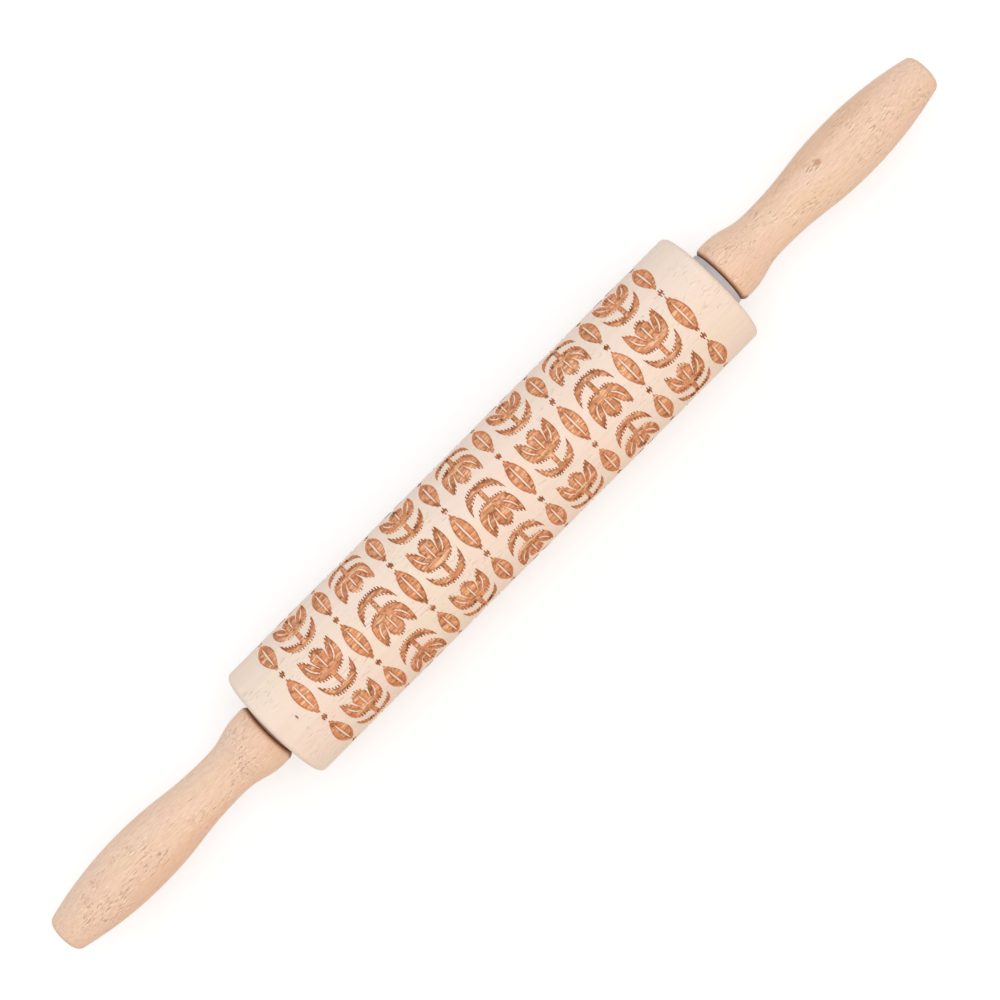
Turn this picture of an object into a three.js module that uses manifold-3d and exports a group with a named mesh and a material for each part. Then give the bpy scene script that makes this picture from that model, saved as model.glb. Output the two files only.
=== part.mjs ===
// Rolling pin: an engraved beech roller that turns on two nylon bushes round a steel axle,
// with a turned beech handle pressed on each end of the axle.
// Millimetres, +Z up. The axis runs along X, and the roller rests on the plane z = 0.
import * as THREE from 'three';
import { mergeGeometries, mergeVertices } from 'three/addons/utils/BufferGeometryUtils.js';
import Module from 'manifold-3d';

const wasm = await Module();
wasm.setup();

// Roller: radii here and below are measured to the flats of the faceted solid
const rollerLength = 220;
const rollerRadius = 24;
const rollerEdgeRadius = 2;
const rollerBoreRadius = 5.5;

// Handles: the shape is turned, from the collar by the roller to the rounded far end
const handleLength = 104.25;
const collarRadius = 12.3;
const collarEdgeRadius = 2.2;
const collarLand = 3.8;
const neckRadius = 9.4;
const neckPlace = 23;
const bellyRadius = 12.2;
const bellyPlace = 66;
const tipRadius = 7.9;
const tipEdgeRadius = 2.6;
const tipDome = 0.9;

// Axle: a plain rod with a raised straight knurl near each end, which grips inside the handle
const axleRadius = 4;
const axleDepthInHandle = 52;
const axleChamfer = 0.8;
const knurlHeight = 0.2;
const knurlLength = 16;
const knurlInset = 4;

// Bushes: plain nylon sleeves between the axle and the roller's counterbores
const bushRadius = 11.5;
const bushLength = 18;
const bushChamfer = 0.6;

// Clearances and end play: the roller floats between the two collars
const bushBoreClearance = 0.4;
const counterboreClearance = 0.3;
const pressClearance = 0.1;
const seatClearance = 0.3;
const boreMouthChamfer = 0.9;
const leftEndGap = 2.5;
const rightEndGap = 4;

// Engraving: rings of tulips between rings of leaves, sunk into the roller.
// Widths run along the roller and heights around it.
const plainBand = 13;
const engravingDepth = 1;
const tulipWidth = 15.4;
const tulipHeight = 19;
const leafWidth = 6.4;
const leafHeight = 17;
const ringGap = 2.4;
const rowGap = 2;
const cutOverrun = 1;

// Numbers of flats and of steps along a curve
const rollerSides = 24;
const handleSides = 24;
const bushSides = 28;
const axleSides = 24;
const knurlRidges = 16;
const edgeSteps = 3;
const sweepSteps = 6;
const engravingSteps = 2;

const collarPlace = (rollerLength + leftEndGap + rightEndGap) / 2;
const rollerShift = (leftEndGap - rightEndGap) / 2;

// One half of each motif's outline from its foot to its top, as shares of its width (from the
// middle) and of its height. A row ends a line, or ends a curve that has a control point.
const tulipOutlineShares = [
  { end: [0.06, 0] },
  { control: [0.48, 0], end: [0.5, 0.44] },
  { control: [0.36, 0.2], end: [0.06, 0.14] },
  { end: [0.06, 0.38] },
  { control: [0.62, 0.38], end: [0.46, 1] },
  { end: [0.22, 0.82] },
  { end: [0, 1] },
];
const leafOutlineShares = [
  { end: [0, 0] },
  { control: [1, 0.5], end: [0, 1] },
];

const beech = new THREE.MeshStandardMaterial({ color: 0xf5e6d4, roughness: 0.62, metalness: 0 });
const handleBeech = new THREE.MeshStandardMaterial({ color: 0xf0cdb2, roughness: 0.58, metalness: 0 });
const nylon = new THREE.MeshStandardMaterial({ color: 0xe4e2de, roughness: 0.45, metalness: 0 });
const steel = new THREE.MeshStandardMaterial({ color: 0xa9abad, roughness: 0.35, metalness: 1 });

// A solid turned about the X axis from a profile of points (place along X, radius).
// Flats face straight up and down, and every radius is measured to a flat.
function turned(profile, sides) {
  const toCorner = 1 / Math.cos(Math.PI / sides);
  const points = profile.map(([place, radius]) => new THREE.Vector2(radius * toCorner, place));
  const geometry = new THREE.LatheGeometry(points, sides, Math.PI / sides);
  return geometry.rotateZ(-Math.PI / 2);
}

function toManifold(geometry) {
  const bare = geometry.clone();
  bare.deleteAttribute('normal');
  bare.deleteAttribute('uv');
  const merged = mergeVertices(bare);
  return new wasm.Manifold(new wasm.Mesh({
    numProp: 3,
    vertProperties: new Float32Array(merged.attributes.position.array),
    triVerts: new Uint32Array(merged.index.array),
  }));
}

function toGeometry(solid) {
  const mesh = solid.getMesh();
  const geometry = new THREE.BufferGeometry();
  geometry.setAttribute('position', new THREE.BufferAttribute(mesh.vertProperties, mesh.numProp));
  geometry.setIndex(new THREE.BufferAttribute(mesh.triVerts, 1));
  geometry.computeVertexNormals();
  return geometry;
}

// Points of a rounded corner, from angle start to angle end about a centre (place, radius)
function roundedCorner(centre, radius, start, end, steps) {
  const arc = new THREE.EllipseCurve(centre[0], centre[1], radius, radius, start, end, end < start);
  return arc.getPoints(steps).map((point) => [point.x, point.y]);
}

// Points of a smooth sweep that leaves and arrives parallel to the axis
function sweep(from, to, steps) {
  const middle = (from[0] + to[0]) / 2;
  const curve = new THREE.CubicBezierCurve(
    new THREE.Vector2(...from),
    new THREE.Vector2(middle, from[1]),
    new THREE.Vector2(middle, to[1]),
    new THREE.Vector2(...to),
  );
  return curve.getPoints(steps).map((point) => [point.x, point.y]);
}

// A motif's closed outline about its own middle, with its foot up (direction -1) or down (1)
function motifOutline({ shares, width, height, direction }) {
  const point = ([across, up], side) => [side * across * width, direction * (up - 1 / 2) * height];
  const shape = new THREE.Shape();
  const drawTo = (control, end, side) => {
    if (control) {
      shape.quadraticCurveTo(...point(control, side), ...point(end, side));
    } else {
      shape.lineTo(...point(end, side));
    }
  };
  shape.moveTo(...point(shares[0].end, 1));
  for (let row = 1; row < shares.length; row += 1) {
    drawTo(shares[row].control, shares[row].end, 1);
  }
  for (let row = shares.length - 1; row > 0; row -= 1) {
    drawTo(shares[row].control, shares[row - 1].end, -1);
  }
  shape.closePath();
  return shape;
}

// A motif's cutter: its outline is laid round the roller, and the slab's thickness runs out
// from the axis, so the walls of the recess draw in towards its floor. The cutter's top is
// high enough for its straight chords to clear the surface.
function motifCutter(motif, place, angle) {
  const slab = new THREE.ExtrudeGeometry(motifOutline(motif), {
    depth: 1,
    bevelEnabled: false,
    curveSegments: engravingSteps,
  });
  const bottom = rollerRadius - engravingDepth - cutOverrun;
  const top = rollerRadius / Math.cos(motif.height / 2 / rollerRadius) + cutOverrun;
  const position = slab.attributes.position;
  for (let index = 0; index < position.count; index += 1) {
    const radius = bottom + (top - bottom) * position.getZ(index);
    const turn = angle + position.getY(index) / rollerRadius;
    position.setXYZ(
      index,
      place + position.getX(index) * (radius / rollerRadius),
      radius * Math.sin(turn),
      radius * Math.cos(turn),
    );
  }
  return slab;
}

// Cutters for one ring of a motif, with the first copy at the roller's top
function ringCutters(motif, place) {
  const copies = Math.floor((2 * Math.PI * rollerRadius) / (tulipHeight + rowGap));
  return Array.from({ length: copies }, (_, copy) => motifCutter(motif, place, (2 * Math.PI * copy) / copies));
}

// All recesses in one solid: the cutters, kept only within the engraved depth
function engraving() {
  const pitch = tulipWidth + leafWidth + 2 * ringGap;
  const tulipRings = Math.floor((rollerLength - 2 * plainBand - leafWidth) / pitch);
  const leaf = { shares: leafOutlineShares, width: leafWidth, height: leafHeight, direction: 1 };
  const cutters = [];
  for (let ring = 0; ring < tulipRings; ring += 1) {
    const direction = ring % 2 === 0 ? 1 : -1;
    const tulip = { shares: tulipOutlineShares, width: tulipWidth, height: tulipHeight, direction };
    cutters.push(...ringCutters(tulip, (ring + 1 / 2 - tulipRings / 2) * pitch));
  }
  for (let ring = 0; ring <= tulipRings; ring += 1) {
    cutters.push(...ringCutters(leaf, (ring - tulipRings / 2) * pitch));
  }
  const halfSkin = rollerLength / 2;
  const floorRadius = rollerRadius - engravingDepth;
  const skinRadius = rollerRadius + cutOverrun;
  const skin = turned([
    [-halfSkin, floorRadius],
    [-halfSkin, skinRadius],
    [halfSkin, skinRadius],
    [halfSkin, floorRadius],
    [-halfSkin, floorRadius],
  ], rollerSides);
  return toManifold(mergeGeometries(cutters)).intersect(toManifold(skin));
}

// The barrel: rounded rims, a counterbore for a bush in each end and a clear bore between
function rollerGeometry() {
  const half = rollerLength / 2;
  const counterboreRadius = bushRadius + counterboreClearance;
  const counterboreFloor = half - bushLength - seatClearance;
  const rim = roundedCorner(
    [half - rollerEdgeRadius, rollerRadius - rollerEdgeRadius], rollerEdgeRadius, Math.PI / 2, 0, edgeSteps);
  const rightHalf = [
    ...rim,
    [half, counterboreRadius],
    [counterboreFloor, counterboreRadius],
    [counterboreFloor, rollerBoreRadius],
  ];
  const leftHalf = rightHalf.map(([place, radius]) => [-place, radius]).reverse();
  const barrel = turned([...leftHalf, ...rightHalf, leftHalf[0]], rollerSides);
  return toGeometry(toManifold(barrel).subtract(engraving()));
}

// A handle, from its collar face at x = 0 to its domed end, with a blind bore for the axle
function handleGeometry() {
  const boreRadius = axleRadius + knurlHeight + pressClearance;
  const boreDepth = axleDepthInHandle + seatClearance;
  const collarEdge = roundedCorner(
    [collarEdgeRadius, collarRadius - collarEdgeRadius], collarEdgeRadius, Math.PI, Math.PI / 2, edgeSteps);
  const tipEdgePlace = handleLength - tipDome - tipEdgeRadius;
  const taperMiddle = (bellyPlace + tipEdgePlace) / 2;
  const taperLean = Math.atan2(bellyRadius - tipRadius, tipEdgePlace - taperMiddle);
  const domeLean = Math.atan2(tipDome, tipRadius - tipEdgeRadius);
  const tipEdge = roundedCorner(
    [tipEdgePlace, tipRadius - tipEdgeRadius], tipEdgeRadius, Math.PI / 2 - taperLean, domeLean, edgeSteps);
  const taper = new THREE.QuadraticBezierCurve(
    new THREE.Vector2(bellyPlace, bellyRadius),
    new THREE.Vector2(taperMiddle, bellyRadius),
    new THREE.Vector2(...tipEdge[0]),
  ).getPoints(sweepSteps).map((point) => [point.x, point.y]);
  return turned([
    [boreDepth, 0],
    [boreDepth, boreRadius],
    [boreMouthChamfer, boreRadius],
    [0, boreRadius + boreMouthChamfer],
    ...collarEdge,
    ...sweep([collarLand, collarRadius], [neckPlace, neckRadius], sweepSteps),
    ...sweep([neckPlace, neckRadius], [bellyPlace, bellyRadius], sweepSteps + 1).slice(1),
    ...taper.slice(1),
    ...tipEdge.slice(1),
    [handleLength, 0],
  ], handleSides);
}

// A bush, centred on its own middle
function bushGeometry() {
  const half = bushLength / 2;
  const bore = axleRadius + bushBoreClearance;
  return turned([
    [-half, bore],
    [-half, bushRadius - bushChamfer],
    [-half + bushChamfer, bushRadius],
    [half - bushChamfer, bushRadius],
    [half, bushRadius - bushChamfer],
    [half, bore],
    [-half, bore],
  ], bushSides);
}

// A band of straight ridges round the axle, from x = 0 to its length
function knurlBand() {
  const outline = new THREE.Shape();
  const points = 2 * knurlRidges;
  for (let index = 0; index < points; index += 1) {
    const radius = axleRadius + (index % 2 === 0 ? knurlHeight : -knurlHeight);
    const angle = (2 * Math.PI * index) / points;
    const step = index === 0 ? 'moveTo' : 'lineTo';
    outline[step](radius * Math.cos(angle), radius * Math.sin(angle));
  }
  outline.closePath();
  const band = new THREE.ExtrudeGeometry(outline, { depth: knurlLength, bevelEnabled: false });
  return band.rotateY(Math.PI / 2);
}

// The axle: one rod through the roller, with a knurled band gripped in each handle
function axleGeometry() {
  const half = collarPlace + axleDepthInHandle;
  const rod = turned([
    [-half, 0],
    [-half, axleRadius - axleChamfer],
    [-half + axleChamfer, axleRadius],
    [half - axleChamfer, axleRadius],
    [half, axleRadius - axleChamfer],
    [half, 0],
  ], axleSides);
  let axle = toManifold(rod);
  for (const start of [half - knurlInset - knurlLength, knurlInset - half]) {
    axle = axle.add(toManifold(knurlBand().translate(start, 0, 0)));
  }
  return toGeometry(axle);
}

function piece(name, geometry, material) {
  const mesh = new THREE.Mesh(geometry, material);
  mesh.name = name;
  return mesh;
}

function rollingPin() {
  const pin = new THREE.Group();
  pin.position.z = rollerRadius;

  const roller = piece('roller', rollerGeometry(), beech);
  roller.position.x = rollerShift;

  const axle = piece('axle', axleGeometry(), steel);

  const handle = handleGeometry();
  const rightHandle = piece('right_handle', handle, handleBeech);
  rightHandle.position.x = collarPlace;
  const leftHandle = piece('left_handle', handle, handleBeech);
  leftHandle.position.x = -collarPlace;
  leftHandle.rotation.z = Math.PI;

  const bush = bushGeometry();
  const bushPlace = collarPlace - seatClearance - bushLength / 2;
  const rightBush = piece('right_bush', bush, nylon);
  rightBush.position.x = bushPlace;
  const leftBush = piece('left_bush', bush, nylon);
  leftBush.position.x = -bushPlace;

  pin.add(roller, axle, leftHandle, rightHandle, leftBush, rightBush);
  return pin;
}

export default rollingPin();
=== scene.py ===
"""The looks of the rolling pin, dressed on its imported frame.

An engraved beech roller turns on two nylon bushes round a steel axle, between two turned
beech handles. The axis runs along X. Lengths are in millimetres, but in metres in the studio
and in the finished meshes.
"""

import logging
import math
from collections.abc import Sequence
from dataclasses import dataclass
from enum import Enum

import bpy
import numpy as np
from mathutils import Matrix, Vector
from mathutils.geometry import delaunay_2d_cdt


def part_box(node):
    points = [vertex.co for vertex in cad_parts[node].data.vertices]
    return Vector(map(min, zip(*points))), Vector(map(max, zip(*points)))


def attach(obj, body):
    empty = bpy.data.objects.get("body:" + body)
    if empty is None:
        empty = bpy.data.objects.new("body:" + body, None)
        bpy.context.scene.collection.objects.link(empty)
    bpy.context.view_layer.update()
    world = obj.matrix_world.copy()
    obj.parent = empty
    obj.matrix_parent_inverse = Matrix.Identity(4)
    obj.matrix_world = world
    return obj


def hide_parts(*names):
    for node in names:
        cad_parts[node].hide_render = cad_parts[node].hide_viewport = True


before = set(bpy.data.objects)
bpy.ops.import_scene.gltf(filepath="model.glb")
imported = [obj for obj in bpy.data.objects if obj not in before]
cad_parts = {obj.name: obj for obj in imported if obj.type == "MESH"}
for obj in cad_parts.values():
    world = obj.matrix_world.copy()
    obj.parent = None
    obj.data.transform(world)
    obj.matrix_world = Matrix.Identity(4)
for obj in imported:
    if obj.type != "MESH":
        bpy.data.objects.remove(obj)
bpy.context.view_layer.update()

LOG = logging.getLogger("rolling_pin")
METRE = 0.001  # one millimetre, in metres
WELD = 0.001  # corners that round to the same place on a grid of this many millimetres are joined
TINY = 1e-9  # stands for zero where something is divided
TURN = 2 * math.pi
MAP_ROOM = 1.01  # the flat map's width, as a multiple of what lies on it
MAP_MARGIN = 0.004  # its lower margins, as shares of its width
FROM_THE_EDGE = "from_the_edge"  # each floor point's distance from the nearest wall, for its finish

Colour = tuple[int, int, int]  # as a screen shows it, 0 to 255
Point = tuple[float, float]
Place = tuple[float, float, float]
Run = Sequence[Point]


def linear(colour: Colour) -> tuple[float, ...]:
    """A colour in the linear values of the shaders, with full alpha."""
    shares = (channel / 255 for channel in colour)
    return *(s / 12.92 if s <= 0.04045 else ((s + 0.055) / 1.055) ** 2.4 for s in shares), 1.0


class Signal:
    """A node's output, which can stand in a Python sum and then adds the Math nodes it needs."""

    def __init__(self, recipe: "Recipe", socket: bpy.types.NodeSocket | None) -> None:
        """Keeps the recipe that the output belongs to, and its socket."""
        self.recipe = recipe
        self.socket = socket

    def __add__(self, other: "Signal | float") -> "Signal":
        """This value plus another."""
        return self.recipe.maths("ADD", self, other)

    def __sub__(self, other: "Signal | float") -> "Signal":
        """This value less another."""
        return self.recipe.maths("SUBTRACT", self, other)

    def __rsub__(self, other: float) -> "Signal":
        """A number less this value."""
        return self.recipe.maths("SUBTRACT", other, self)

    def __mul__(self, other: "Signal | float") -> "Signal":
        """This value times another."""
        return self.recipe.maths("MULTIPLY", self, other)

    def __truediv__(self, other: "Signal | float") -> "Signal":
        """This value divided by another."""
        return self.recipe.maths("DIVIDE", self, other)

    def __abs__(self) -> "Signal":
        """This value without its sign."""
        return self.recipe.maths("ABSOLUTE", self)

    __radd__, __rmul__ = __add__, __mul__

    def eased(self, low: float, high: float) -> "Signal":
        """The smooth rise of this value, from 0 at low to 1 at high."""
        inputs = {0: self, 1: low, 2: high, 3: 0.0, 4: 1.0}
        return self.recipe.node("ShaderNodeMapRange", {"interpolation_type": "SMOOTHSTEP"}, inputs)

    def part(self, axis: str) -> "Signal":
        """One coordinate of this place or direction, by its letter."""
        return self.recipe.node("ShaderNodeSeparateXYZ", {}, {0: self}, axis)

    def vector(self, operation: str, other: "Signal | Place") -> "Signal":
        """A Vector Math node of this vector and another."""
        return self.recipe.node("ShaderNodeVectorMath", {"operation": operation}, {0: self, 1: other})

    def noise(self, bumps: Place, detail: float = 2.0, roughness: float = 0.5) -> "Signal":
        """Smooth noise around 0.5 at this place: bumps per unit, finer layers and their strength."""
        place = self.vector("MULTIPLY", bumps)
        return self.recipe.node(
            "ShaderNodeTexNoise",
            {},
            {"Vector": place, "Scale": 1.0, "Detail": detail, "Roughness": roughness},
        )

    def length(self) -> "Signal":
        """The length of this vector."""
        return self.recipe.node("ShaderNodeVectorMath", {"operation": "LENGTH"}, {0: self}, "Value")


class Recipe:
    """The node tree of a material or of the world, built up node by node."""

    def __init__(self, owner: bpy.types.Material | bpy.types.World) -> None:
        """Starts from the owner's tree, emptied."""
        owner.use_nodes = True
        self.tree = owner.node_tree
        self.tree.nodes.clear()

    def node(
        self,
        kind: str,
        settings: dict[str, object] | None = None,
        inputs: dict[int | str, object] | None = None,
        output: int | str = 0,
    ) -> Signal:
        """Adds one node.

        Args:
            kind: The node's type name.
            settings: Its own settings, which are set before its inputs.
            inputs: Values or signals for its inputs, by name or number.
            output: The output that is wanted, by name or number.

        Returns:
            The wanted output.
        """
        made = self.tree.nodes.new(kind)
        for name, value in (settings or {}).items():
            setattr(made, name, value)
        for key, value in (inputs or {}).items():
            if isinstance(value, Signal):
                self.tree.links.new(value.socket, made.inputs[key])
            else:
                made.inputs[key].default_value = value
        return Signal(self, made.outputs[output] if made.outputs else None)

    def maths(self, operation: str, first: Signal | float, second: Signal | float = 0.0) -> Signal:
        """A Math node of one or two values."""
        return self.node("ShaderNodeMath", {"operation": operation}, {0: first, 1: second})

    def lengthways(self) -> Signal:
        """How much the surface faces along the axis, 0 to 1."""
        return abs(self.node("ShaderNodeTexCoord", output="Normal").part("X"))

    def layered(self, colour: Signal | Colour, *layers: tuple[Signal, Colour]) -> Signal:
        """Lays colours over a first one, each in turn.

        Args:
            colour: The first colour.
            layers: How much of each further colour shows, 0 to 1, and that colour.

        Returns:
            The mixed colour.
        """
        for share, layer in layers:
            under = colour if isinstance(colour, Signal) else linear(colour)
            inputs = {0: share, 6: under, 7: linear(layer)}
            colour = self.node("ShaderNodeMix", {"data_type": "RGBA", "clamp_factor": True}, inputs, 2)
        return colour


@dataclass(frozen=True, kw_only=True)
class Finish:
    """The material of a surface, which each kind of finish paints in its own way."""

    name: str
    roughness: float
    relief: float
    specular: float = 0.5
    metallic: float = 0.0

    def dressed(self) -> bpy.types.Material:
        """Makes the material.

        Returns:
            The material.
        """
        material = bpy.data.materials.new(self.name)
        place = Recipe(material).node("ShaderNodeTexCoord", output="Object")
        self.paint(place.vector("MULTIPLY", (1 / METRE,) * 3))
        return material

    def paint(self, place: Signal) -> None:
        """Paints the surface by the place on the piece, which is in millimetres and rides with it."""
        raise NotImplementedError

    def surface(self, colour: Signal, roughness: Signal, relief: Signal) -> None:
        """Ends the material with its main shader.

        Args:
            colour: The colour.
            roughness: The roughness.
            relief: The relief, 0 to 1.
        """
        recipe = colour.recipe
        inputs = {"Height": relief, "Distance": self.relief * METRE, "Strength": 1.0}
        inputs = {
            "Base Color": colour,
            "Metallic": self.metallic,
            "Roughness": roughness,
            "Specular IOR Level": self.specular,
            "Normal": recipe.node("ShaderNodeBump", {}, inputs),
        }
        shader = recipe.node("ShaderNodeBsdfPrincipled", {}, inputs)
        recipe.node("ShaderNodeOutputMaterial", {}, {"Surface": shader})


@dataclass(frozen=True)
class Mark:
    """A single mark on the wood, natural for some and painted shade for others: its middle, its half
    sizes along X, Y and Z, and its look.
    """

    middle: Place
    reach: Place
    colour: Colour
    strength: float
    raggedness: float = 0.5

    def mask(self, place: Signal) -> Signal:
        """How much of the mark shows, softly edged.

        Args:
            place: The place in millimetres.

        Returns:
            The mask.
        """
        away = place.vector("SUBTRACT", self.middle).vector("DIVIDE", self.reach).length()
        ragged = away + self.raggedness * (place.noise((0.8, 1.6, 1.6)) - 0.5)
        return self.strength * (1.0 - ragged.eased(0.35, 1.0))


@dataclass(frozen=True)
class Shoulder:
    """A handle's inner edge, darkened by its end grain and by painted shade of the gap beside the roller:
    where it starts along X, and its reach.
    """

    place: float
    reach: float
    colour: Colour
    strength: float
    raggedness: float = 0.9

    def mask(self, place: Signal, fibre: Signal) -> Signal:
        """How dark the end grain and the painted shade are at a place; the wood's fibre roughens its
        edge.
        """
        inward = abs(place.part("X")) - self.place + self.raggedness * (fibre - 0.5)
        return self.strength * (1.0 - inward.eased(0.0, self.reach))


@dataclass(frozen=True, kw_only=True)
class Beech(Finish):
    """Beech cut from a stem whose pith runs along X beside the piece, so all faces show one block."""

    pale: Colour
    late: Colour
    blush: Colour
    straw: Colour
    fleck: Colour
    # pale grain streaks, and the painted highlights beside the flecks
    pale_streak_and_highlight: Colour
    end_grain: Colour
    pith: Point
    seed: float
    fleck_level: float
    fleck_strength: float
    highlight_strength: float
    patch_strength: float
    streak_strength: float
    marks: tuple[Mark, ...]
    shoulder: Shoulder | None = None
    sway: float = 5.0
    ring_pitch: float = 2.3
    ring_wobble: float = 1.6
    fleck_length: float = 3.4
    fleck_width: float = 0.32
    fleck_bend: float = 1.2
    dark_streaks: float = 0.14
    pale_streaks: float = 0.4
    relief: float = 0.035
    specular: float = 0.35

    def in_the_stem(self, place: Signal) -> tuple[Signal, Signal]:
        """Turns a place on the piece into one in the stem that it was cut from.

        Args:
            place: The place in millimetres.

        Returns:
            The distance from the pith, and the place along, around and out from the pith.
        """
        recipe = place.recipe
        shifted = place.vector("ADD", (self.seed, -self.pith[0], -self.pith[1]))
        sway = shifted.noise((0.011, 0.03, 0.03), 1.0) - 0.5
        aside = shifted.part("Y") + self.sway * sway
        up = shifted.part("Z")
        distance = recipe.maths("SQRT", aside * aside + up * up)
        around = recipe.maths("ARCTAN2", aside, up) * math.hypot(*self.pith)
        parts = {0: shifted.part("X"), 1: around, 2: distance}
        return distance, recipe.node("ShaderNodeCombineXYZ", {}, parts)

    def flecks(self, stem: Signal) -> tuple[Signal, Signal]:
        """The flecks of the wood: thin dark dashes in loose groups, each with a painted highlight beside
        it, offset one way as if lit from one side.

        Args:
            stem: The place in the stem.

        Returns:
            The masks of the dashes and of their painted highlights.
        """
        recipe = stem.recipe
        bend = self.fleck_bend * (stem.noise((0.25, 0.45, 0.3), 1.0) - 0.5)
        bent = stem.vector("ADD", recipe.node("ShaderNodeCombineXYZ", {}, {1: bend}))
        group = stem.vector("ADD", (53.0, 29.0, 17.0)).noise((0.07, 0.15, 0.1))
        least = self.fleck_level - 0.12 * group.eased(0.42, 0.62)
        bumps = (1 / self.fleck_length, 1 / self.fleck_width, 0.8 / self.fleck_width)
        dashes, painted_highlights = (
            (bent.vector("ADD", beside).noise(bumps, 1.0) - least).eased(0.0, 0.04)
            for beside in ((0.0, 0.0, 0.0), (0.6, 0.34, 0.2))
        )
        return dashes, painted_highlights * (1.0 - dashes)

    def paint(self, place: Signal) -> None:
        """Paints growth rings, patches, streaks, flecks with their painted highlights, and end grain;
        over them go the shoulder and the marks, some of which are painted shade.

        Args:
            place: The place on the piece in millimetres.
        """
        recipe = place.recipe
        distance, stem = self.in_the_stem(place)
        wobble = self.ring_wobble * stem.noise((0.02, 0.08, 0.5))
        ring = recipe.maths("FRACT", (distance + wobble) / self.ring_pitch)
        late_wood = ring.eased(0.35, 0.93) * (1.0 - ring.eased(0.95, 1.0))
        fibre = stem.noise((0.07, 2.6, 2.6), 3.0, 0.6)
        streak = stem.noise((0.28, 2.8, 2.8), 1.0)
        warm = stem.noise((0.03, 0.16, 0.16))
        cool = stem.vector("ADD", (91.0, 7.0, 3.0)).noise((0.035, 0.2, 0.2))
        flecks, painted_highlights = self.flecks(stem)
        end = recipe.lengthways().eased(0.72, 0.98)
        dark = self.streak_strength * self.dark_streaks
        bright = self.streak_strength * self.pale_streaks
        colour = recipe.layered(
            self.pale,
            ((0.24 + 0.55 * end) * late_wood + 0.65 * (fibre - 0.38), self.late),
            (self.patch_strength * warm.eased(0.48, 0.68), self.blush),
            (self.patch_strength * cool.eased(0.48, 0.68), self.straw),
            (dark * (1.0 - streak.eased(0.32, 0.48)), self.fleck),
            (bright * streak.eased(0.54, 0.7), self.pale_streak_and_highlight),
            # painted highlight beside each fleck
            (self.highlight_strength * painted_highlights, self.pale_streak_and_highlight),
            (self.fleck_strength * flecks, self.fleck),
            (0.5 * end, self.end_grain),
        )
        # darker end grain and painted shade of the gap round the collar's inner edge
        if self.shoulder:
            colour = recipe.layered(colour, (self.shoulder.mask(place, fibre), self.shoulder.colour))
        for mark in self.marks:
            colour = recipe.layered(colour, (mark.mask(place), mark.colour))
        roughness = self.roughness + 0.1 * (fibre - 0.5) + 0.12 * end
        relief = 0.55 * fibre + 0.3 * streak - 0.45 * flecks
        self.surface(colour, roughness, relief)


@dataclass(frozen=True, kw_only=True)
class ScorchedBeech(Finish):
    """The floor of the engraving: beech browned by the beam, with its scan lines and the grain."""

    brown: Colour
    light: Colour
    dark: Colour
    edge: Colour
    scan_pitch: float = 1.0
    relief: float = 0.05
    specular: float = 0.2

    def paint(self, place: Signal) -> None:
        """Paints the browned wood, and its darker rim along the walls.

        Args:
            place: The place on the piece in millimetres.
        """
        recipe = place.recipe
        grain = place.noise((0.16, 1.25, 1.25), 2.0, 0.55)
        mottle = place.noise((0.24, 0.34, 0.34), 3.0, 0.6)
        speck = place.noise((0.7, 1.0, 1.0), 3.0, 0.6)
        burn = place.noise((0.45, 0.7, 0.7), 2.0, 0.55)
        scan = 0.5 + 0.5 * recipe.maths("SINE", place.part("X") * (TURN / self.scan_pitch))
        near = recipe.node("ShaderNodeAttribute", {"attribute_name": FROM_THE_EDGE}, output="Fac")
        rim = 1.0 - near.eased(0.05, 0.5)
        colour = recipe.layered(
            self.brown,
            (grain.eased(0.49, 0.64), self.light),
            (0.7 * (1.0 - grain.eased(0.34, 0.46)), self.dark),
            (0.8 * mottle.eased(0.5, 0.7), self.dark),
            (0.8 * speck.eased(0.56, 0.7), self.dark),
            (0.3 * scan * speck.eased(0.42, 0.62), self.dark),
            (0.76 * burn.eased(0.57, 0.66), self.edge),
            (rim * (0.15 + 0.6 * mottle.eased(0.42, 0.62)), self.edge),
        )
        roughness = self.roughness + 0.08 * (mottle - 0.5)
        relief = 0.5 * scan + 0.4 * grain + 0.3 * speck
        self.surface(colour, roughness, relief)


@dataclass(frozen=True, kw_only=True)
class Char(Finish):
    """The walls of the engraving: charred where the beam's lines end, only browned beside its lines, in a
    brown paler than the floor's that is painted light against the recess's shade.
    """

    brown: Colour
    black: Colour
    relief: float = 0.04
    specular: float = 0.2

    def paint(self, place: Signal) -> None:
        """Paints the soot, which is thin on walls that face along the axis.

        Args:
            place: The place on the piece in millimetres.
        """
        recipe = place.recipe
        soot = place.noise((0.7, 0.5, 0.5), 3.0, 0.6)
        streak = place.noise((4.0, 4.0, 0.6), 1.0)
        line_end = 1.0 - recipe.lengthways().eased(0.35, 0.8)
        colour = recipe.layered(self.brown, (soot.eased(0.4, 0.6) * (0.2 + 0.8 * line_end), self.black))
        self.surface(colour, self.roughness + 0.1 * streak, streak)


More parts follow.
